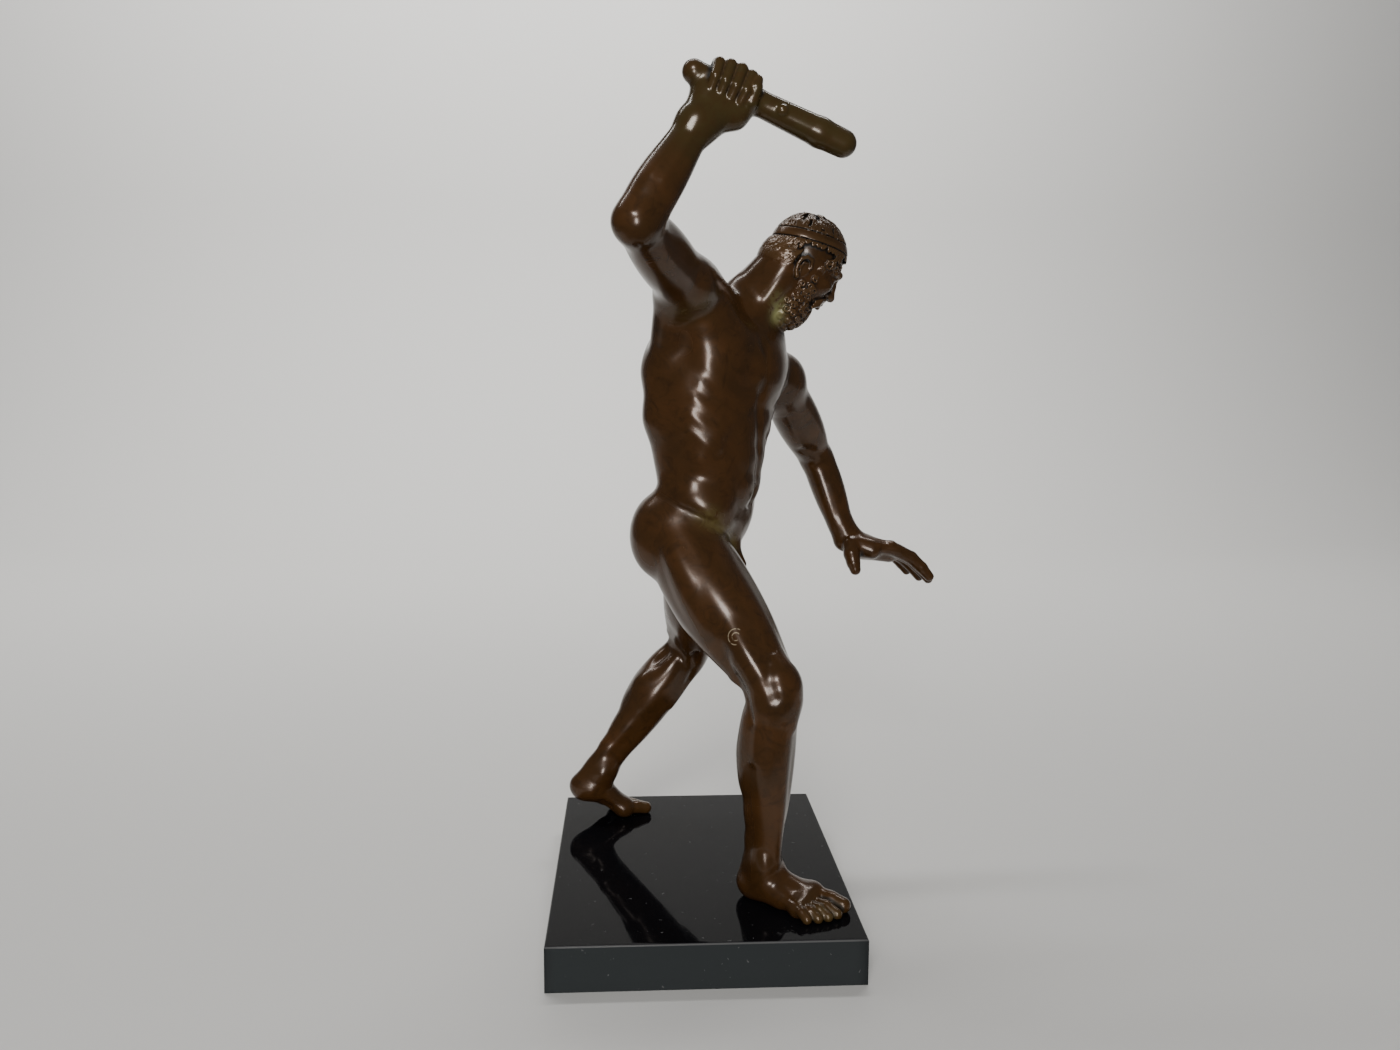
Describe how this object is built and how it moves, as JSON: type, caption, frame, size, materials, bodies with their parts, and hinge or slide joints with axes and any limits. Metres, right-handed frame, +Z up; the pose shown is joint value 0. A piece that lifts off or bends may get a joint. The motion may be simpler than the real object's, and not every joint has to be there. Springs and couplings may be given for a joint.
{
  "type": "hercules statue",
  "caption": "Striding bearded nude cast in bronze, one arm raised with a short club and the other reaching forward, on a rectangular polished black stone plinth.",
  "frame": {"origin": "centre of the plinth's underside", "axes": "+Z up, +Y from the plinth's front edge towards its back edge, +X to the right as seen from the front, the way the figure strides"},
  "size_m": [0.2945, 0.2589, 0.5598],
  "materials": {
    "bronze": "dark brown patina, waxed and glossy",
    "black_stone": "polished"
  },
  "bodies": {
    "root": {"figure": "bronze", "plinth": "black_stone"}
  },
  "joints": []
}
